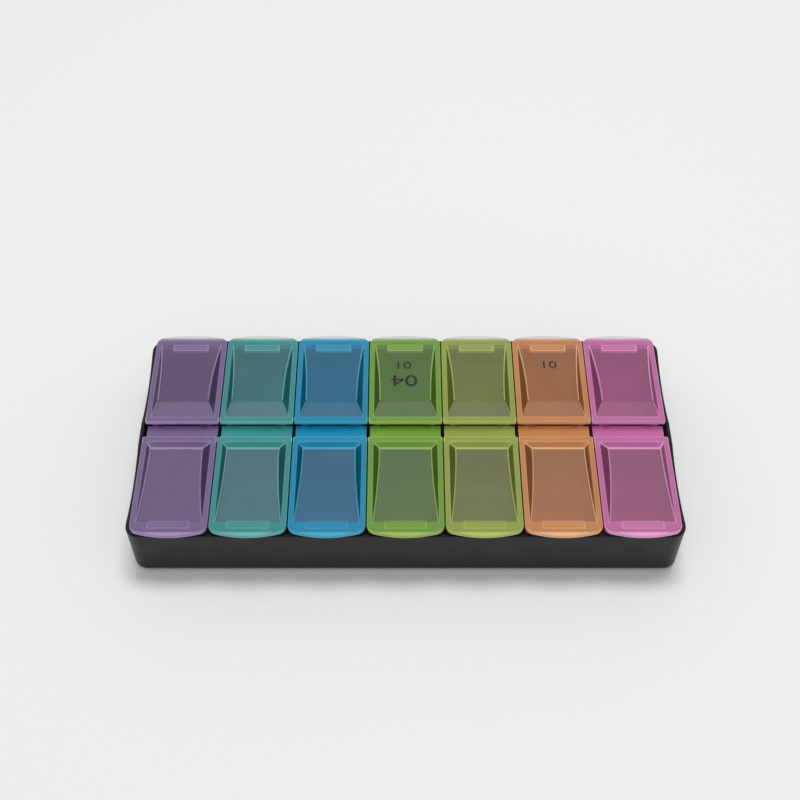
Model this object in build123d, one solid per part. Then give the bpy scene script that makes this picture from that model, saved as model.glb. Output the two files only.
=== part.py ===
from build123d import *
import math
import os

# Seven-day organizer: an open tray holding seven lift-out day cases. Each case
# has two compartments with curved floors, and a lid hinged on its middle bridge
# over each of them.
# Millimetres. X runs along the week, Y from front to back, Z up from the table.

# The week
day_count = 7
case_gap = 1.6              # between neighbouring cases
case_side_gap = 1.05        # from the outer cases to the tray's end walls

# Tray
tray_depth = 111.0          # along Y, at the rim
tray_height = 29.0
tray_wall = 1.8
tray_floor = 1.8
tray_draft = 1.0            # degrees each wall leans in towards the base
tray_corner_radius = 6.0    # upright corners
tray_base_radius = 4.5      # where the walls roll under
rim_round = 0.45
dip_depth = 2.4             # finger dips in the two end walls
dip_length = 42.0
dip_centre_y = 27.0
rib_thickness = 1.0         # low ribs that keep the cases apart
rib_height = 6.0
rib_length = 88.0

# Day case
case_width = 32.1           # at the mouth
case_wall = 1.3
case_draft = 3.0            # degrees each side leans in towards the base
case_end_gap = 0.5          # to the inside of the tray wall
mouth_rise = 1.3            # from the tray's rim up to the case's, where the lids lie
cup_start_y = 7.0           # outer face of the cup wall beside the bridge
scoop_start_y = 24.0        # where the flat floor starts to rise
scoop_rise = 15.46          # how far it has risen at the end wall
cup_heel_radius = 8.3       # foot of the wall beside the bridge
cup_toe_radius = 5.0        # top of the rising floor
cup_edge_radius = 3.4       # along the sides and upright corners
bridge_thickness = 1.5
slot_width = 1.7            # between the strip and the cup wall

# Hinge
knuckle_radius = 1.25
knuckle_width = 2.5
knuckle_gap = 0.3           # round the lid's ears and the knuckles
ear_width = 2.2
ear_inset = 3.2             # from the lid's side edge
hinge_side_gap = 0.3        # between knuckle and lid ear
pin_radius = 0.7
pin_clearance = 0.06
pin_hole_floor = 0.3
pin_end_gap = 0.2

# Lid
lid_gap = 0.5               # between neighbouring lids
lid_thickness = 1.7
lid_swing_gap = 0.2         # between its turning end and the strip
lid_inner_corner = 0.8
lip_overhang = 1.1          # past the tray's rim at the middle of the lid
lip_sagitta = 2.6           # how far the lip bows out over the lid width
lip_corner_radius = 3.8
lip_length = 3.3            # the part that rolls down
lip_drop_top = 1.0
lip_drop_under = 0.4
lid_edge_round = 0.45
dome_side_border = 2.35     # from the raised panel to the edges of the lid
dome_hinge_border = 3.0
dome_lip_border = 6.7
dome_ramp_length = 5.9      # from the hinge end up to the ridge
dome_height = 3.6           # of the ridge above the flat of the lid
dome_end_height = 0.3       # step at the lip end
dome_lean = 38.0            # degrees its sides lean in
dome_wall = 1.2
dome_round = 0.9            # along the ridge and up the corners
tab_gap = 0.55              # to the inside of the end wall
tab_thickness = 1.0
tab_width = 17.0            # snap tab under the lip
tab_depth = 4.6
bead_radius = 0.3

# Derived
day_pitch = case_width + case_gap       # centre to centre of neighbouring cases
mouth_z = tray_height + mouth_rise
tray_length = day_count * day_pitch - case_gap + 2 * (case_side_gap + tray_wall)
tray_inner_y = tray_depth / 2 - tray_wall
cup_end_y = tray_inner_y - case_end_gap
scoop_run = cup_end_y - scoop_start_y
scoop_radius = (scoop_run**2 + scoop_rise**2) / (2 * scoop_rise)
hinge_y = cup_start_y - knuckle_gap - knuckle_radius
hinge_z = mouth_z - knuckle_gap - knuckle_radius
bridge_z = hinge_z - knuckle_radius - knuckle_gap       # top of the strip between the lids
slot_start_y = cup_start_y - slot_width
lid_width = day_pitch - lid_gap
lid_top_z = mouth_z + lid_thickness
lid_inner_y = hinge_y - (hinge_z - bridge_z) + lid_swing_gap
lip_y = tray_depth / 2 + lip_overhang
lip_bend_y = lip_y - lip_length
dome_half_width = lid_width / 2 - dome_side_border      # where it meets the flat
dome_ridge_y = lid_inner_y + dome_hinge_border + dome_ramp_length
dome_end_y = lip_y - dome_lip_border
tab_y = cup_end_y - case_wall - tab_gap
bead_z = mouth_z - tab_depth + 2 * bead_radius
ear_inner_x = lid_width / 2 - ear_inset - ear_width
knuckle_x = ear_inner_x - hinge_side_gap                # outer face of each knuckle
pin_hole_x = knuckle_x - knuckle_width + pin_hole_floor
far = 100.0                 # past any face, for cutting and trimming


def block(x0, x1, y0, y1, z0, z1):
    """A box given by its limits."""
    centre = ((x0 + x1) / 2, (y0 + y1) / 2, (z0 + z1) / 2)
    return Pos(*centre) * Box(abs(x1 - x0), abs(y1 - y0), abs(z1 - z0))


def rod_along_x(x0, x1, y, z, radius):
    """A round bar along X."""
    rod = Rot(0, 90, 0) * Cylinder(radius, abs(x1 - x0))
    return Pos((x0 + x1) / 2, y, z) * rod


def tub(inset, base_z, base_radius):
    """Tapered tub with rolled-under base, standing up to the rim."""
    top = Plane((0, 0, tray_height), z_dir=(0, 0, -1))
    outline = RectangleRounded(
        tray_length - 2 * inset, tray_depth - 2 * inset, tray_corner_radius - inset
    )
    body = extrude(top * outline, amount=tray_height - base_z, taper=tray_draft)
    base_edges = body.faces().sort_by(Axis.Z)[0].edges()
    return fillet(base_edges, base_radius)


def make_tray():
    """Open tray with finger dips in its ends and low ribs on its floor."""
    hollow = tub(tray_wall, tray_floor, tray_base_radius - tray_wall)
    tray = tub(0, 0, tray_base_radius) - hollow

    half = dip_length / 2
    dip_radius = (half**2 + dip_depth**2) / (2 * dip_depth)
    for side in (-1, 1):
        tray -= rod_along_x(-far * 2, far * 2, side * dip_centre_y,
                            tray_height - dip_depth + dip_radius, dip_radius)
    rim = tray.faces().filter_by(lambda face: face.center().Z > tray_height - dip_depth - 0.2)
    tray = fillet(rim.edges(), rim_round)

    for gap in range(1, day_count):
        x = (gap - day_count / 2) * day_pitch
        tray += block(x - rib_thickness / 2, x + rib_thickness / 2,
                      -rib_length / 2, rib_length / 2,
                      tray_floor - 0.5, tray_floor + rib_height)
    return tray


def cup_side_view(inset, top):
    """Side view of a compartment: upright by the bridge, rising at its end."""
    start, end = cup_start_y + inset, cup_end_y - inset
    floor = tray_floor + inset
    radius = scoop_radius - inset
    rise = radius - math.sqrt(radius**2 - (end - scoop_start_y) ** 2)
    with BuildSketch(Plane.YZ) as view:
        with BuildLine():
            Polyline((scoop_start_y, floor), (start, floor), (start, top),
                     (end, top), (end, floor + rise))
            TangentArc((scoop_start_y, floor), (end, floor + rise), tangent=(1, 0))
        make_face()
        heel = view.vertices().sort_by_distance((0, start, floor))[0]
        fillet(heel, cup_heel_radius - inset)
        toe = view.vertices().sort_by_distance((0, end, floor + rise))[0]
        fillet(toe, cup_toe_radius - inset)
    return view.sketch


def cup(inset, top):
    """Solid compartment shape with leaning sides and rounded edges."""
    half_top = case_width / 2 - inset + (top - mouth_z) * math.tan(math.radians(case_draft))
    half_base = half_top - top * math.tan(math.radians(case_draft))
    section = Plane.XZ * Polygon(
        (-half_base, 0), (half_base, 0), (half_top, top), (-half_top, top), align=None
    )
    body = extrude(cup_side_view(inset, top), amount=far / 4, both=True)
    body = body & extrude(section, amount=far, both=True)
    side_edges = body.edges().filter_by(
        lambda edge: abs(edge.tangent_at(0.5).X) < 0.5 and edge.center().Z < top - 0.01
    )
    return fillet(side_edges, cup_edge_radius - inset)


def half_bridge():
    """Back half of the strip between the lids, with its hinge knuckles."""
    joint_y = cup_start_y + case_wall / 2
    base_z = bridge_z - bridge_thickness
    half = case_width / 2
    bridge = block(-half, half, 0, slot_start_y, base_z, bridge_z)
    for side in (-1, 1):
        inner, outer = side * (knuckle_x - knuckle_width), side * knuckle_x
        bridge += block(inner, outer, slot_start_y - 0.5, joint_y, base_z, bridge_z)
        bridge += block(inner, outer, hinge_y, joint_y, base_z, hinge_z + knuckle_radius)
        bridge += rod_along_x(inner, outer, hinge_y, hinge_z, knuckle_radius)
        bridge -= rod_along_x(side * pin_hole_x, side * far,
                              hinge_y, hinge_z, pin_radius + pin_clearance)
    return bridge


def make_case():
    """Two compartments joined by the bridge."""
    hollow = cup(case_wall, mouth_z + 5)
    groove = rod_along_x(-tab_width / 2 - 0.5, tab_width / 2 + 0.5,
                         cup_end_y - case_wall, bead_z, 2 * bead_radius)
    half = cup(0, mouth_z) - hollow - groove + half_bridge()
    return half + mirror(half, about=Plane.XZ)


def lid_plate():
    """Flat plate with square hinge end and a bowed lip that rolls down."""
    half = lid_width / 2
    with BuildSketch() as outline:
        with BuildLine():
            Polyline((-half, lip_y - lip_sagitta), (-half, lid_inner_y),
                     (half, lid_inner_y), (half, lip_y - lip_sagitta))
            ThreePointArc((half, lip_y - lip_sagitta), (0, lip_y), (-half, lip_y - lip_sagitta))
        make_face()
        corners = outline.vertices().sort_by(Axis.Y)
        fillet(corners[-2:], lip_corner_radius)
        fillet(outline.vertices().sort_by(Axis.Y)[:2], lid_inner_corner)

    tip = lip_y + 0.2
    with BuildSketch(Plane.YZ) as side_view:
        with BuildLine():
            Polyline((lip_bend_y, mouth_z), (lid_inner_y - 1, mouth_z),
                     (lid_inner_y - 1, lid_top_z), (lip_bend_y, lid_top_z))
            TangentArc((lip_bend_y, lid_top_z), (tip, lid_top_z - lip_drop_top), tangent=(1, 0))
            Line((tip, lid_top_z - lip_drop_top), (tip, mouth_z - lip_drop_under))
            TangentArc((lip_bend_y, mouth_z), (tip, mouth_z - lip_drop_under), tangent=(1, 0))
        make_face()
    plate = extrude(side_view.sketch, amount=lid_width, both=True)
    plate = plate & extrude(outline.sketch, amount=far)
    top_faces = plate.faces().filter_by(lambda face: face.normal_at().Z > 0.5)
    rim = [
        edge for edge in top_faces.edges()
        if abs(edge.center().Y - lip_bend_y) > 0.01 or edge.length < 1
    ]
    return fillet(rim, lid_edge_round)


def dome(inset):
    """Raised panel of a lid from below its plate up, or the hollow inside it."""
    base_z = mouth_z - 2 * dome_wall
    ridge = (dome_ridge_y, lid_top_z + dome_height)
    end = (dome_end_y, lid_top_z + dome_end_height)
    ramp_run = (ridge[1] - base_z) * dome_ramp_length / dome_height
    with BuildSketch(Plane.YZ) as view:
        with BuildLine():
            Polyline(ridge, (dome_ridge_y - ramp_run, base_z), (dome_end_y, base_z), end)
            TangentArc(ridge, end, tangent=(1, 0))
        make_face()
        if inset:
            offset(amount=-inset, kind=Kind.INTERSECTION)
    lean = math.radians(dome_lean)
    half_flat = dome_half_width - inset / math.cos(lean)
    half_base = half_flat + (lid_top_z - base_z) * math.tan(lean)
    half_top = half_flat - 2 * dome_height * math.tan(lean)
    section = Plane.XZ * Polygon(
        (-half_base, base_z), (half_base, base_z),
        (half_top, lid_top_z + 2 * dome_height), (-half_top, lid_top_z + 2 * dome_height),
        align=None
    )
    body = extrude(view.sketch, amount=far / 4, both=True)
    return body & extrude(section, amount=far, both=True)


def add_dome(plate):
    """The plate with the raised panel on it, hollow below."""
    outside = dome(0) & block(-far, far, 0, far, mouth_z + lid_thickness / 3, far)
    corners = outside.edges().filter_by(
        lambda edge: edge.center().Z > lid_top_z and edge.center().Y < dome_end_y - 0.1)
    hollow = dome(dome_wall) & block(-far, far, cup_start_y + case_wall, far, 0, far)
    return plate + fillet(corners, dome_round) - hollow


def snap_tab():
    """Tab that hangs inside the end wall, with its bead."""
    half = tab_width / 2
    tab = block(-half, half, tab_y - tab_thickness, tab_y,
                mouth_z - tab_depth, mouth_z + 0.2)
    foot = tab.edges().filter_by(Axis.Y).sort_by(Axis.Z)[:2]
    tab = fillet(foot, 1.2)
    return tab + rod_along_x(-half + 1.5, half - 1.5, tab_y, bead_z, bead_radius)


def make_lid():
    """Back lid, closed."""
    lid = add_dome(lid_plate()) + snap_tab()
    for side in (-1, 1):
        inner, outer = side * ear_inner_x, side * (ear_inner_x + ear_width)
        lid += rod_along_x(inner, outer, hinge_y, hinge_z, knuckle_radius)
        lid += block(inner, outer, hinge_y - knuckle_radius, hinge_y + knuckle_radius,
                     hinge_z, mouth_z + 0.2)
        lid += rod_along_x(side * (pin_hole_x + pin_end_gap), outer,
                           hinge_y, hinge_z, pin_radius)
    return lid


def write(name, shape):
    """One named part to its file."""
    shape.label = name
    export_step(shape, f"parts/{name}.step")


os.makedirs("parts", exist_ok=True)
write("tray", make_tray())
case = make_case()
back_lid = make_lid()
front_lid = Rot(0, 0, 180) * back_lid
for day in range(1, day_count + 1):
    place = Pos((day - (day_count + 1) / 2) * day_pitch, 0, 0)
    write(f"day_case_{day}", place * case)
    write(f"back_lid_{day}", place * back_lid)
    write(f"front_lid_{day}", place * front_lid)
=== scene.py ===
import math
import bpy
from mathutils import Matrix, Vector


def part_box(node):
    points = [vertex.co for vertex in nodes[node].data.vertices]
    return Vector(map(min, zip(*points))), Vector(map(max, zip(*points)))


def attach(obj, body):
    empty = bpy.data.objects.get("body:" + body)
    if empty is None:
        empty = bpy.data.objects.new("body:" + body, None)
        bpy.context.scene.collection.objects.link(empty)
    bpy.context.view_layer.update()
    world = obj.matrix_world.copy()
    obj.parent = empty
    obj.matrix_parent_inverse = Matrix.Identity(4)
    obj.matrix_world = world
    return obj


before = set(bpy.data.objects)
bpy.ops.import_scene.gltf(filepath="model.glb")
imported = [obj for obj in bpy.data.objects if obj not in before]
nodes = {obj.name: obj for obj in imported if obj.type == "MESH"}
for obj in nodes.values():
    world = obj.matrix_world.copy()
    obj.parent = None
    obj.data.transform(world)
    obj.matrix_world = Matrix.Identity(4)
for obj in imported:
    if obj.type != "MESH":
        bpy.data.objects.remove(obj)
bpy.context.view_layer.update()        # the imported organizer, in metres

dayCount = 7
lidLow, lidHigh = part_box("back_lid_4")      # its two outer corners; the others repeat it along X
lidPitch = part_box("back_lid_5")[0].x - lidLow.x
noiseSpread = (0.3, 0.7)     # a noise texture hardly leaves this range


# building blocks of the materials
def startTree(name):
    material = bpy.data.materials.new(name)
    material.use_nodes = True
    tree = material.node_tree
    tree.nodes.clear()
    output = tree.nodes.new("ShaderNodeOutputMaterial")
    output.location = (900, 0)
    return material, tree, output


def addNode(tree, kind, place, **settings):
    node = tree.nodes.new(kind)
    node.location = place
    for key, value in settings.items():
        setattr(node, key, value)
    return node


def addNoise(tree, coordinates, place, scale, detail=2.0, roughness=0.5):
    noise = addNode(tree, "ShaderNodeTexNoise", place)
    noise.inputs["Scale"].default_value = scale
    noise.inputs["Detail"].default_value = detail
    noise.inputs["Roughness"].default_value = roughness
    tree.links.new(coordinates, noise.inputs["Vector"])
    return noise.outputs["Fac"]


def addBump(tree, height, place, strength, distance):
    bump = addNode(tree, "ShaderNodeBump", place)
    bump.inputs["Strength"].default_value = strength
    bump.inputs["Distance"].default_value = distance
    tree.links.new(height, bump.inputs["Height"])
    return bump.outputs["Normal"]


def remap(tree, value, place, low, high, start=noiseSpread[0], end=noiseSpread[1]):
    spread = addNode(tree, "ShaderNodeMapRange", place)
    spread.inputs["From Min"].default_value = start
    spread.inputs["From Max"].default_value = end
    spread.inputs["To Min"].default_value = low
    spread.inputs["To Max"].default_value = high
    tree.links.new(value, spread.inputs["Value"])
    return spread.outputs["Result"]


def blendColours(tree, value, place, first, second):
    ramp = addNode(tree, "ShaderNodeValToRGB", place)
    for mark, position, colour in zip(ramp.color_ramp.elements, noiseSpread, (first, second)):
        mark.position = position
        mark.color = (*colour, 1)
    tree.links.new(value, ramp.inputs["Fac"])
    return ramp.outputs["Color"]


def steps(tree, value, place, stops):
    ramp = addNode(tree, "ShaderNodeValToRGB", place)
    marks = ramp.color_ramp.elements
    while len(marks) < len(stops):
        marks.new(0.5)
    for mark, (position, level) in zip(marks, stops):
        mark.position = position
        mark.color = (level, level, level, 1)
    tree.links.new(value, ramp.inputs["Fac"])
    return ramp.outputs["Color"]


def scaled(colour, factor):
    return tuple(min(channel * factor, 1.0) for channel in colour)


def combine(tree, first, second, place, operation, third=0.0):
    maths = addNode(tree, "ShaderNodeMath", place, operation=operation)
    for socket, value in zip(maths.inputs, (first, second, third)):
        if isinstance(value, (int, float)):
            socket.default_value = value
        else:
            tree.links.new(value, socket)
    return maths.outputs[0]


def product(tree, first, second, place):
    return combine(tree, first, second, place, "MULTIPLY")


def minus(tree, first, second, place):
    return combine(tree, first, second, place, "SUBTRACT")


def larger(tree, first, second, place):
    return combine(tree, first, second, place, "MAXIMUM")


def over(tree, value, limit, place):
    return combine(tree, value, limit, place, "GREATER_THAN")


def under(tree, value, limit, place):
    return combine(tree, value, limit, place, "LESS_THAN")


def opposite(tree, share, place):
    return minus(tree, 1.0, share, place)


def unsigned(tree, value, place):
    return combine(tree, value, 0.0, place, "ABSOLUTE")


# 1 where the value is nearer to the middle than half
def within(tree, value, middle, half, place):
    x, y = place
    offset = unsigned(tree, minus(tree, value, middle, place), (x + 160, y))
    return under(tree, offset, half, (x + 320, y))


def mixColours(tree, share, first, second, place):
    mix = addNode(tree, "ShaderNodeMix", place, data_type="RGBA")
    for socket, value in ((mix.inputs[0], share), (mix.inputs[6], first), (mix.inputs[7], second)):
        if isinstance(value, tuple):
            socket.default_value = (*value, 1)
        else:
            tree.links.new(value, socket)
    return mix.outputs[2]


def mixShaders(tree, share, first, second, place):
    mix = addNode(tree, "ShaderNodeMixShader", place)
    tree.links.new(share, mix.inputs["Fac"])
    tree.links.new(first.outputs[0], mix.inputs[1])
    tree.links.new(second.outputs[0], mix.inputs[2])
    return mix


# places on a lid, in metres: depth from the middle of its case, and height above the table. The foot of
# the raised panel is a rectangle with a painted highlight line round it, and so is each patch where a snap
# tab shows through. Line is half the line's width, highlight its strength, and inside that of the whole
# patch.
raisedPanel = {
    "halfWidth": 0.01435,
    "centre": 0.0285,
    "halfDepth": 0.0215,
    "line": 0.00022,
    "highlight": 0.45,
    "underside": 0.0303,     # above it a panel is thin
    "flat": 0.5,             # faces that look up more than this take the lines
    "paintedSheen": (0.32, 0.11),    # share of painted sheen, a painted reflection of the light, in the front row's panels and in the back row's
    "sheenBlend": 0.004,      # from one row to the other
    "sheenFrom": 0.66,        # only on faces that look up more than this
}
# the panel's leaning face by the hinge, denser and paler in the back row as a painted reflection, and its
# ridge, a painted highlight bar in the front row
panelRamp = {"end": 0.0128, "cover": 0.33, "paintedSheen": 0.30}
panelRidge = {"centre": 0.01335, "halfDepth": 0.00050, "above": lidHigh.z - 0.0006, "highlight": 0.85}
frontTab = {"halfWidth": 0.0088, "centre": 0.0513, "halfDepth": 0.0016, "line": 0.00026, "highlight": 0.60,
            "inside": 0.16}
backTab = {"halfWidth": 0.0080, "centre": 0.0479, "halfDepth": 0.0020, "line": 0.00030, "highlight": 0.80,
           "inside": 0.14, "hidesFoot": 0.045}
lidLip = {
    "start": lidHigh.y - 0.0033,
    "roll": (0.988, 0.9999),         # how far it looks up where it is clear, and where it starts to roll
    "underside": 0.0307,
    "bow": 9.435,                    # a metre: how fast its tip draws back towards the sides
    "tip": lidHigh.y - 0.00032,
    "clearness": 0.96,
    # painted reflection: how far the back lips' tint is paled towards white
    "paleness": 0.62,
    "tipColour": (0.84, 0.85, 0.84),
}
caseStrip = {"halfDepth": 0.0053}    # between the two lids
# painted shade by the hinge: parts under a lid's edge are made nearly clear, so that they show dark
hingeZone = {
    "halfDepth": 0.0069,             # the hinge parts lie nearer to the middle than this
    "lidBelow": 0.0300,
    "caseAbove": 0.0274,
    "shade": 0.88,
    "lift": 2.2,                     # painted light on a lid's upright faces there, which the lamps hardly reach
    "brightest": 1.25,               # that any channel gets by it
}


# 1 along the outline of a rectangle on half a case, and 1 inside it
def rectangle(tree, lid, shape, place):
    x, y = place
    beside = minus(tree, lid["across"], shape["halfWidth"], (x, y + 80))
    along = unsigned(tree, minus(tree, lid["depth"], shape["centre"], (x, y - 80)), (x + 160, y - 80))
    along = minus(tree, along, shape["halfDepth"], (x + 320, y - 80))
    outwards = larger(tree, beside, along, (x + 480, y))
    ring = within(tree, outwards, 0.0, shape["line"], (x + 640, y + 80))
    return ring, under(tree, outwards, 0.0, (x + 640, y - 80))


# painted highlight: a snap tab's outline and face, painted on the panel's top
def tabPatch(tree, lid, tab, row, place):
    x, y = place
    ring, inside = rectangle(tree, lid, tab, place)
    ring = product(tree, ring, row, (x + 1120, y + 80))
    inside = product(tree, inside, row, (x + 1120, y - 80))
    patch = larger(tree, product(tree, ring, tab["highlight"], (x + 1280, y + 80)),
                   product(tree, inside, tab["inside"], (x + 1280, y - 80)), (x + 1440, y))
    return patch, inside


# painted highlight line round the panel's foot, left out where the back tab's patch lies
def footLine(tree, lid, foot):
    overTab = product(tree, under(tree, lid["across"], backTab["halfWidth"], (-120, 1400)),
                      over(tree, lid["depth"], backTab["hidesFoot"], (-120, 1240)), (40, 1400))
    overTab = product(tree, overTab, lid["back"], (200, 1400))
    foot = product(tree, foot, opposite(tree, overTab, (360, 1400)), (520, 1400))
    return product(tree, foot, raisedPanel["highlight"], (680, 1400))


# painted reflection: a pale sheen over the raised panels, stronger in the front row, left off the front
# ramp
def panelSheen(tree, lid, window, backRamp):
    blend = raisedPanel["sheenBlend"]
    paintedSheen = remap(tree, lid["y"], (-820, 3400), *raisedPanel["paintedSheen"], -blend, blend)
    frontRamp = product(tree, under(tree, lid["depth"], panelRamp["end"], (-820, 3560)), lid["front"],
                        (-600, 3560))
    paintedSheen = product(tree, paintedSheen, minus(tree, window, frontRamp, (-440, 3560)), (-280, 3400))
    paintedSheen = combine(tree, paintedSheen, product(tree, backRamp, panelRamp["paintedSheen"], (-120, 3720)), (40, 3560), "ADD")
    calmFace = over(tree, lid["upwards"], raisedPanel["sheenFrom"], (40, 3720))
    return product(tree, paintedSheen, calmFace, (200, 3560))


# back row's lips: clear where they roll down, their tint paled as a painted reflection of the white
# backdrop, with a grey tip along their bow
def lipPlaces(tree, lid):
    rolled = remap(tree, lid["upwards"], (-820, 4400), 1.0, 0.0, *lidLip["roll"])
    rolled = larger(tree, rolled, under(tree, lid["height"], lidLip["underside"], (-820, 4240)),
                    (-600, 4400))
    lip = product(tree, over(tree, lid["depth"], lidLip["start"], (-820, 4560)), lid["back"], (-600, 4560))
    lip = product(tree, product(tree, lip, rolled, (-440, 4480)), lidLip["clearness"], (-280, 4480))
    bow = product(tree, combine(tree, lid["across"], 2.0, (-820, 4760), "POWER"), lidLip["bow"],
                  (-600, 4760))
    tip = over(tree, combine(tree, lid["depth"], bow, (-440, 4760), "ADD"), lidLip["tip"], (-280, 4760))
    return lip, product(tree, tip, lid["back"], (-120, 4760))


def lidPlaces(tree, spot, finish):
    half = lidPitch / 2
    across = unsigned(tree, combine(tree, spot["x"], half, (-1500, 1400), "WRAP", -half), (-1340, 1400))
    front = under(tree, spot["y"], 0.0, (-1500, 1860))
    lid = dict(spot, across=across, front=front, back=opposite(tree, front, (-1340, 1860)))

    foot, panel = rectangle(tree, lid, raisedPanel, (-1080, 1400))
    above = over(tree, lid["height"], raisedPanel["underside"], (-600, 3300))
    panel = product(tree, panel, above, (-440, 3200))
    frontPatch = tabPatch(tree, lid, frontTab, lid["front"], (-1080, 1900))[0]
    backPatch, backInside = tabPatch(tree, lid, backTab, lid["back"], (-1080, 2300))
    window = minus(tree, panel, backInside, (-280, 3200))
    # painted reflection: the back row's ramp is made denser and paler
    backRamp = product(tree, under(tree, lid["depth"], panelRamp["end"], (-820, 3880)), lid["back"],
                       (-600, 3880))
    backRamp = product(tree, backRamp, panel, (-440, 3880))
    dense = remap(tree, window, (-120, 3200), finish["thick"], finish["thin"], 0.0, 1.0)
    dense = larger(tree, dense, product(tree, backRamp, panelRamp["cover"], (-120, 3040)), (40, 3200))

    line = larger(tree, footLine(tree, lid, foot), larger(tree, frontPatch, backPatch, (680, 1900)),
                  (840, 1700))
    line = product(tree, line, over(tree, lid["upwards"], raisedPanel["flat"], (840, 1540)), (1000, 1700))
    ridge = within(tree, lid["depth"], panelRidge["centre"], panelRidge["halfDepth"], (-1080, 2800))
    ridge = product(tree, ridge, over(tree, lid["height"], panelRidge["above"], (-600, 2640)),
                    (-440, 2800))
    ridgeHighlight = product(tree, ridge, product(tree, lid["front"], panelRidge["highlight"], (-440, 2640)), (-280, 2800))

    nearHinge = under(tree, lid["depth"], hingeZone["halfDepth"], (-820, 1080))
    low = under(tree, lid["height"], hingeZone["lidBelow"], (-820, 920))
    lip, tip = lipPlaces(tree, lid)
    return {
        "dense": dense,
        "shaded": product(tree, nearHinge, low, (-600, 1080)),
        "paintedLitFaces": product(tree, nearHinge, opposite(tree, low, (-600, 920)), (-440, 920)),
        "line": larger(tree, line, ridgeHighlight, (1160, 1900)),
        "calm": product(tree, ridge, lid["back"], (-280, 2640)),
        "paintedSheen": panelSheen(tree, lid, window, backRamp),
        "lip": lip,
        "tip": tip,
    }


def casePlaces(tree, spot, finish):
    wall = remap(tree, spot["height"], (-820, 900), finish["deep"], finish["thin"], *finish["deepens"])
    rim = remap(tree, spot["height"], (-820, 740), 0.0, finish["thick"], *finish["fades"])
    strip = under(tree, spot["depth"], caseStrip["halfDepth"], (-820, 1240))
    strip = product(tree, strip, finish["thick"], (-600, 1240))
    nearHinge = under(tree, spot["depth"], hingeZone["halfDepth"], (-820, 1080))
    high = over(tree, spot["height"], hingeZone["caseAbove"], (-600, 1080))
    return {
        "dense": larger(tree, larger(tree, wall, rim, (-600, 900)), strip, (-400, 1000)),
        "shaded": product(tree, nearHinge, high, (-400, 1160)),
    }


# tinted plastics from left to right: body is the colour that the thick parts scatter, edge the
# painted highlight on their rounded edges, tint the colour that the thin parts let through, and
# paintedSheen the paler colour painted on the raised panels as a painted reflection of the light
plasticColours = {
    1: {"name": "violet", "body": (0.192, 0.134, 0.276), "edge": (0.39, 0.27, 0.51),
        "tint": (0.85, 0.80, 0.91), "paintedSheen": (0.77, 0.60, 0.93)},
    2: {"name": "teal", "body": (0.044, 0.280, 0.280), "edge": (0.15, 0.45, 0.46),
        "tint": (0.76, 0.95, 0.96), "paintedSheen": (0.53, 0.62, 0.84)},
    3: {"name": "blue", "body": (0.008, 0.262, 0.450), "edge": (0.06, 0.41, 0.60),
        "tint": (0.66, 0.92, 0.98), "paintedSheen": (0.31, 0.45, 0.64)},
    4: {"name": "green", "body": (0.165, 0.345, 0.048), "edge": (0.38, 0.51, 0.11),
        "tint": (0.80, 0.87, 0.73), "paintedSheen": (0.52, 0.53, 0.50)},
    5: {"name": "lime", "body": (0.288, 0.366, 0.078), "edge": (0.46, 0.58, 0.13),
        "tint": (0.94, 0.94, 0.80), "paintedSheen": (0.52, 0.44, 0.45)},
    6: {"name": "orange", "body": (0.560, 0.245, 0.090), "edge": (0.86, 0.47, 0.24),
        "tint": (0.98, 0.87, 0.76), "paintedSheen": (1.00, 0.66, 0.44)},
    7: {"name": "pink", "body": (0.540, 0.160, 0.375), "edge": (0.86, 0.37, 0.66),
        "tint": (0.98, 0.80, 0.92), "paintedSheen": (0.76, 0.48, 0.54)},
}

# how much the plastic hides of what lies behind it: thin in thin walls, thick in solid parts, deep where
# it hides the least, and steep where it is seen along its surface. edges is where rounded and upright
# faces take a painted highlight, by how far they look up.
lidFinish = {
    "thin": 0.28,
    "thick": 0.84,
    "deep": 0.28,
    "steep": 0.85,
    "lift": 1.0,                     # of the body colour
    "roughness": (0.080, 0.140),
    "bump": 0.010,
    "cloud": 0.05,
    "edges": ((0.00, 1), (0.55, 1), (0.60, 0), (0.635, 0), (0.68, 1), (0.80, 1), (0.84, 0),
              (0.862, 0), (0.88, 1), (0.972, 1), (0.985, 0)),
}
caseFinish = {
    "thin": 0.50,
    "thick": 0.94,
    "deep": 0.30,
    "steep": 0.60,
    "deepens": (0.003, 0.020),       # heights between which the floor's cover turns into the walls'
    "fades": (0.0290, 0.0296),       # and the walls' into the rim's
    "lift": 1.06,
    "roughness": (0.16, 0.28),
    "bump": 0.02,
    "cloud": 0.06,
    "edges": ((0.00, 0), (0.20, 0), (0.40, 0.4), (0.80, 0.4), (0.95, 0)),
}
sharedFinish = {
    "highlightStrength": (0.52, 1.0),         # strength of the painted highlights on rounded edges, seen from above and along the surface
    "edgeSeen": (0.05, 0.45),        # how far they turn away from the eye for that
    "steepSeen": (0.35, 0.70),
    "sides": ((0.58, 0), (0.60, 1), (0.635, 1), (0.655, 0)),      # leaning sides, by how far they look up
    "sideShade": 0.60,
    "sideMatt": 0.75,
    "mirror": 0.04,                  # straight on
    "mirrorPower": 4.0,              # how late it rises towards the edge of sight
    "lampsThrough": 0.70,            # share of lamp light that passes straight through
    "clouds": 70.0,                  # patches a metre, in the colour
    "smudges": 130.0,                # in the roughness, from handling
    "flow": 90.0,                    # in the surface, which isn't dead flat
    "flowDepth": 0.0010,
}


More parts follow.
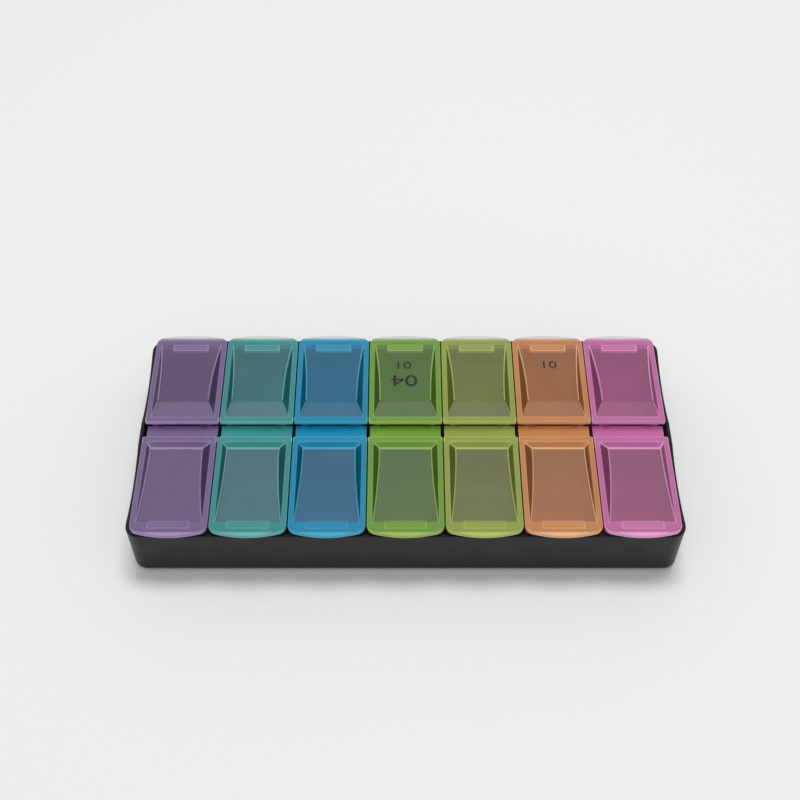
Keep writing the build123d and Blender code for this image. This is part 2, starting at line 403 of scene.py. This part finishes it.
# painted highlights: rounded edges, the panel and tab lines and the front ridge take the highlight colour
def paintedEdgeHighlights(tree, spot, facing, places, finish):
    edges = steps(tree, spot["upwards"], (-1060, 560), finish["edges"])
    seen = remap(tree, facing, (-1060, 720), *sharedFinish["highlightStrength"], *sharedFinish["edgeSeen"])
    onLip = over(tree, spot["depth"], lidLip["start"], (-1060, 400))
    edges = product(tree, edges, larger(tree, seen, onLip, (-900, 640)), (-900, 480))
    if "line" in places:
        edges = product(tree, edges, opposite(tree, places["calm"], (-900, 340)), (-740, 420))
        edges = larger(tree, edges, places["line"], (-600, 420))
    return edges


def scatteringPart(tree, spot, edges, places, colour, finish):
    clouds = addNoise(tree, spot["place"], (-1060, 200), sharedFinish["clouds"], detail=3.0)
    base = scaled(colour["body"], finish["lift"])
    body = blendColours(tree, clouds, (-780, 200), scaled(base, 1 - finish["cloud"]),
                        scaled(base, 1 + finish["cloud"]))
    edge = colour["edge"]
    if "paintedSheen" in places:
        body = mixColours(tree, places["paintedSheen"], body, colour["paintedSheen"], (-460, 200))
        lift = min(hingeZone["lift"], hingeZone["brightest"] / max(edge))
        edge = mixColours(tree, places["paintedLitFaces"], edge, scaled(edge, lift), (-460, 0))
    scatter = addNode(tree, "ShaderNodeBsdfDiffuse", (100, 160))
    tree.links.new(mixColours(tree, edges, body, edge, (-200, 160)), scatter.inputs["Color"])
    return scatter


def clearPart(tree, leaning, places, colour):
    sideTint = scaled(colour["tint"], sharedFinish["sideShade"])
    tint = mixColours(tree, leaning, colour["tint"], sideTint, (-300, 420))
    if "lip" in places:
        pale = product(tree, places["lip"], lidLip["paleness"], (-300, 600))
        tint = mixColours(tree, pale, tint, (1.0, 1.0, 1.0), (-140, 420))
        tint = mixColours(tree, places["tip"], tint, lidLip["tipColour"], (20, 420))
    clear = addNode(tree, "ShaderNodeBsdfTransparent", (180, 360))
    tree.links.new(tint, clear.inputs["Color"])
    return clear


def plasticCover(tree, facing, leaning, edges, places, finish):
    steep = remap(tree, facing, (-440, 820), finish["deep"], finish["steep"], *sharedFinish["steepSeen"])
    steep = product(tree, steep, opposite(tree, leaning, (-440, 660)), (-280, 820))
    cover = larger(tree, larger(tree, steep, places["dense"], (-120, 820)), edges, (40, 820))
    shade = product(tree, places["shaded"], hingeZone["shade"], (-120, 980))
    cover = product(tree, cover, opposite(tree, shade, (40, 980)), (200, 860))
    if "lip" in places:
        cover = product(tree, cover, opposite(tree, places["lip"], (200, 1020)), (360, 860))
    return cover


def glossyPart(tree, spot, finish):
    smudges = addNoise(tree, spot["place"], (-1060, -120), sharedFinish["smudges"], detail=4.0,
                       roughness=0.6)
    flow = addNoise(tree, spot["place"], (-1060, -360), sharedFinish["flow"], detail=1.0)
    bump = addBump(tree, flow, (-300, -360), finish["bump"], sharedFinish["flowDepth"])
    gloss = addNode(tree, "ShaderNodeBsdfGlossy", (100, -120))
    tree.links.new(remap(tree, smudges, (-300, -120), *finish["roughness"]), gloss.inputs["Roughness"])
    tree.links.new(bump, gloss.inputs["Normal"])
    return gloss


def plasticShine(tree, facing, leaning, places):
    grazing = combine(tree, facing, sharedFinish["mirrorPower"], (-440, 1240), "POWER")
    mirror = remap(tree, grazing, (-280, 1240), sharedFinish["mirror"], 1.0, 0.0, 1.0)
    inside = addNode(tree, "ShaderNodeNewGeometry", (-440, 1400)).outputs["Backfacing"]
    shine = product(tree, mirror, opposite(tree, inside, (-280, 1400)), (-120, 1240))
    matt = product(tree, leaning, sharedFinish["sideMatt"], (-120, 1400))
    shine = product(tree, shine, opposite(tree, matt, (40, 1400)), (200, 1240))
    if "tip" in places:
        shine = product(tree, shine, opposite(tree, places["tip"], (200, 1400)), (360, 1240))
    return shine


def tintedPlastic(name, colour, finish, findPlaces):
    material, tree, output = startTree(name)
    coordinates = addNode(tree, "ShaderNodeTexCoord", (-1900, 0))
    place = addNode(tree, "ShaderNodeSeparateXYZ", (-1700, 900))
    tree.links.new(coordinates.outputs["Object"], place.inputs[0])
    normal = addNode(tree, "ShaderNodeSeparateXYZ", (-1700, 560))
    tree.links.new(coordinates.outputs["Normal"], normal.inputs[0])
    spot = {
        "place": coordinates.outputs["Object"],
        "x": place.outputs["X"],
        "y": place.outputs["Y"],
        "height": place.outputs["Z"],
        "depth": unsigned(tree, place.outputs["Y"], (-1500, 1080)),
        "upwards": normal.outputs["Z"],
    }
    places = findPlaces(tree, spot, finish)
    facing = addNode(tree, "ShaderNodeLayerWeight", (-1300, 760)).outputs["Facing"]
    leaning = steps(tree, spot["upwards"], (-780, 620), sharedFinish["sides"])
    edges = paintedEdgeHighlights(tree, spot, facing, places, finish)

    scatter = scatteringPart(tree, spot, edges, places, colour, finish)
    clear = clearPart(tree, leaning, places, colour)
    cover = plasticCover(tree, facing, leaning, edges, places, finish)
    plastic = mixShaders(tree, cover, clear, scatter, (340, 240))
    gloss = glossyPart(tree, spot, finish)
    surface = mixShaders(tree, plasticShine(tree, facing, leaning, places), plastic, gloss, (520, 0))
    lamps = addNode(tree, "ShaderNodeLightPath", (340, 500)).outputs["Is Shadow Ray"]
    lamps = product(tree, lamps, sharedFinish["lampsThrough"], (520, 400))
    tree.links.new(mixShaders(tree, lamps, surface, clear, (720, 0)).outputs[0], output.inputs["Surface"])
    return material


trayFinish = {
    "dark": (0.0036, 0.0042, 0.0052),
    "pale": (0.0066, 0.0074, 0.0088),
    "roughness": (0.34, 0.46),
    "bend": 1.46,            # of light, in the plastic
    "specular": 0.30,
    "patches": 55.0,         # a metre, in the colour
    "smudges": 90.0,         # in the roughness
    "grain": 2600.0,         # in the surface
    "grainDepth": 0.0002,
    "bump": 0.05,
}


def blackPlastic():
    material, tree, output = startTree("blackTrayPlastic")
    place = addNode(tree, "ShaderNodeTexCoord", (-1100, 0)).outputs["Object"]
    satin = addNode(tree, "ShaderNodeBsdfPrincipled", (300, 0))
    satin.inputs["IOR"].default_value = trayFinish["bend"]
    satin.inputs["Specular IOR Level"].default_value = trayFinish["specular"]

    patches = addNoise(tree, place, (-820, 200), trayFinish["patches"], detail=4.0, roughness=0.6)
    tree.links.new(blendColours(tree, patches, (-380, 200), trayFinish["dark"], trayFinish["pale"]),
                   satin.inputs["Base Color"])
    smudges = addNoise(tree, place, (-820, -60), trayFinish["smudges"], detail=5.0, roughness=0.65)
    tree.links.new(remap(tree, smudges, (-380, -60), *trayFinish["roughness"]), satin.inputs["Roughness"])
    grain = addNoise(tree, place, (-820, -320), trayFinish["grain"], detail=1.0)
    tree.links.new(addBump(tree, grain, (0, -320), trayFinish["bump"], trayFinish["grainDepth"]),
                   satin.inputs["Normal"])
    tree.links.new(satin.outputs[0], output.inputs["Surface"])
    return material


def dress(node, material):
    for slot in nodes[node].material_slots:
        slot.material = material


dress("tray", blackPlastic())
for day in range(1, dayCount + 1):
    colour = plasticColours[day]
    lidPlastic = tintedPlastic(colour["name"] + "LidPlastic", colour, lidFinish, lidPlaces)
    casePlastic = tintedPlastic(colour["name"] + "CasePlastic", colour, caseFinish, casePlaces)
    dress(f"day_case_{day}", casePlastic)
    dress(f"back_lid_{day}", lidPlastic)
    dress(f"front_lid_{day}", lidPlastic)
print("plastics done")


# printed numbers, read from behind the organizer, on the raised panels of two back lids. A place is the
# way aside from the lid's middle line and the depth from the middle of its case.
dayMarks = {
    "dayNumber_4": {"text": "04", "lid": 4, "height": 0.0068, "stretch": 1.30, "place": (-0.0004, 0.0257)},
    "doseNumber_4": {"text": "01", "lid": 4, "height": 0.0046, "stretch": 1.25, "place": (-0.0004, 0.0358)},
    "doseNumber_6": {"text": "01", "lid": 6, "height": 0.0046, "stretch": 1.25, "place": (0.0, 0.0361)},
}
inkFinish = {
    "dark": (0.004, 0.005, 0.004),
    "pale": (0.010, 0.011, 0.009),
    "roughness": 0.45,
    "opacity": (0.80, 0.92),
    "patches": 900.0,        # a metre, in the colour
    "gaps": 500.0,           # in the opacity
    "thickness": 0.00005,
}
panelArc = {"ridge": 0.0130, "height": lidHigh.z, "radius": 0.20795}       # top of a panel, from its side


def printedInk():
    material, tree, output = startTree("darkPrintInk")
    place = addNode(tree, "ShaderNodeTexCoord", (-1100, 0)).outputs["Object"]
    ink = addNode(tree, "ShaderNodeBsdfPrincipled", (300, -120))
    ink.inputs["Roughness"].default_value = inkFinish["roughness"]
    patches = addNoise(tree, place, (-820, 200), inkFinish["patches"], detail=3.0)
    tree.links.new(blendColours(tree, patches, (-380, 200), inkFinish["dark"], inkFinish["pale"]),
                   ink.inputs["Base Color"])
    gaps = addNoise(tree, place, (-820, -100), inkFinish["gaps"])
    opacity = remap(tree, gaps, (-380, -100), *inkFinish["opacity"])
    clear = addNode(tree, "ShaderNodeBsdfTransparent", (300, 120))
    tree.links.new(mixShaders(tree, opacity, clear, ink, (640, 0)).outputs[0], output.inputs["Surface"])
    return material


def makeMark(name, mark, ink):
    bpy.ops.object.select_all(action="DESELECT")
    bpy.ops.object.text_add()
    piece = bpy.context.active_object
    piece.name = name
    piece.data.body = mark["text"]
    piece.data.align_x = "CENTER"
    piece.data.align_y = "CENTER"
    piece.data.extrude = 0.01        # brought to the ink's thickness below
    bpy.ops.object.convert(target="MESH")
    bpy.ops.object.mode_set(mode="EDIT")
    bpy.ops.mesh.select_all(action="SELECT")
    bpy.ops.mesh.remove_doubles(threshold=0.0001)
    bpy.ops.mesh.normals_make_consistent(inside=False)
    bpy.ops.object.mode_set(mode="OBJECT")
    bpy.ops.object.origin_set(type="ORIGIN_GEOMETRY", center="BOUNDS")
    size = mark["height"] / piece.dimensions.y
    piece.scale = (size * mark["stretch"], size, inkFinish["thickness"] / piece.dimensions.z)
    aside, y = mark["place"]
    lowCorner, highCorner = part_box(f"back_lid_{mark['lid']}")
    x = (lowCorner.x + highCorner.x) / 2 + aside
    run = y - panelArc["ridge"]
    fall = math.sqrt(panelArc["radius"] ** 2 - run ** 2)
    z = panelArc["height"] - panelArc["radius"] + fall + inkFinish["thickness"]
    piece.location = (x, y, z)
    piece.rotation_euler = (math.atan2(run, fall), 0, math.pi)       # turned to face the back of the tray
    bpy.ops.object.transform_apply(location=True, rotation=True, scale=True)
    piece.data.materials.clear()
    piece.data.materials.append(ink)
    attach(piece, f"back_lid_{mark['lid']}")


ink = printedInk()
for name, mark in dayMarks.items():
    makeMark(name, mark, ink)
print("printed numbers done")


# plain studio, level set so that a colour renders about as it is written
studio = {
    "fillLevel": 0.41,
    "backdropLevel": 0.875,
    "rearBox": {"place": (0.10, 0.36, 1.97), "size": (0.8, 0.5), "watts": 18.3},
    "topBox": {"place": (0.0, -0.85, 1.8), "size": (1.4, 0.6), "watts": 5.3},
}
floorFinish = {
    "colour": (0.905, 0.906, 0.909),
    "mottle": (0.99, 1.01),
    "fibres": 900.0,         # a metre
    "roughness": 0.7,
    "specular": 0.1,
    "size": 14.0,
}

# camera that matches the photograph: 51 degrees above the table, straight on
cameraView = {
    "place": (-0.0024, -0.3554, 0.4969),
    "above": 51.32,          # degrees above the horizon
    "lens": 58.5,            # mm
    "sensor": 36.0,
    "nearest": 0.01,
}


def makeFloor():
    bpy.ops.object.select_all(action="DESELECT")
    bpy.ops.mesh.primitive_plane_add(size=floorFinish["size"], location=(0, 0, 0))
    floor = bpy.context.active_object
    floor.name = "studioFloor"
    material, tree, output = startTree("paleFloorPaper")
    place = addNode(tree, "ShaderNodeTexCoord", (-900, 0)).outputs["Object"]
    paper = addNode(tree, "ShaderNodeBsdfPrincipled", (300, 0))
    paper.inputs["Roughness"].default_value = floorFinish["roughness"]
    paper.inputs["Specular IOR Level"].default_value = floorFinish["specular"]
    fibres = addNoise(tree, place, (-640, 0), floorFinish["fibres"])
    darker, paler = (scaled(floorFinish["colour"], share) for share in floorFinish["mottle"])
    tree.links.new(blendColours(tree, fibres, (-300, 0), darker, paler), paper.inputs["Base Color"])
    tree.links.new(paper.outputs[0], output.inputs["Surface"])
    floor.data.materials.append(material)


def whiteBackground(tree, place, strength):
    background = addNode(tree, "ShaderNodeBackground", place)
    background.inputs["Color"].default_value = (1, 1, 1, 1)
    background.inputs["Strength"].default_value = strength
    return background


# the backdrop is what is seen, in mirrors too, and the fill is what lights the scene
def makeWorld():
    world = bpy.data.worlds.new("paleStudio")
    bpy.context.scene.world = world
    world.use_nodes = True
    tree = world.node_tree
    tree.nodes.clear()
    output = addNode(tree, "ShaderNodeOutputWorld", (700, 0))
    path = addNode(tree, "ShaderNodeLightPath", (-500, 200))
    seen = larger(tree, path.outputs["Is Camera Ray"], path.outputs["Is Glossy Ray"], (-260, 200))
    seen = larger(tree, seen, path.outputs["Is Transmission Ray"], (-80, 200))
    fill = whiteBackground(tree, (200, 0), studio["fillLevel"])
    backdrop = whiteBackground(tree, (200, -160), studio["backdropLevel"])
    tree.links.new(mixShaders(tree, seen, fill, backdrop, (460, 0)).outputs[0], output.inputs["Surface"])


def makeSoftbox(name, settings):
    lamp = bpy.data.lights.new(name, "AREA")
    lamp.shape = "RECTANGLE"
    lamp.size, lamp.size_y = settings["size"]
    lamp.energy = settings["watts"]
    box = bpy.data.objects.new(name, lamp)
    bpy.context.scene.collection.objects.link(box)
    box.location = settings["place"]
    box.visible_glossy = False       # its mirror image would speckle the leaning sides
    box.rotation_euler = (-Vector(settings["place"])).to_track_quat("-Z", "Y").to_euler()


def makeCamera():
    data = bpy.data.cameras.new("photoCamera")
    data.lens = cameraView["lens"]
    data.sensor_width = cameraView["sensor"]
    data.clip_start = cameraView["nearest"]
    camera = bpy.data.objects.new("photoCamera", data)
    bpy.context.scene.collection.objects.link(camera)
    camera.location = cameraView["place"]
    camera.rotation_euler = (math.radians(90 - cameraView["above"]), 0, 0)
    bpy.context.scene.camera = camera


makeFloor()
makeWorld()
makeSoftbox("rearSoftbox", studio["rearBox"])
makeSoftbox("topSoftbox", studio["topBox"])
makeCamera()
bpy.context.scene.view_settings.view_transform = "Standard"
print("studio done")
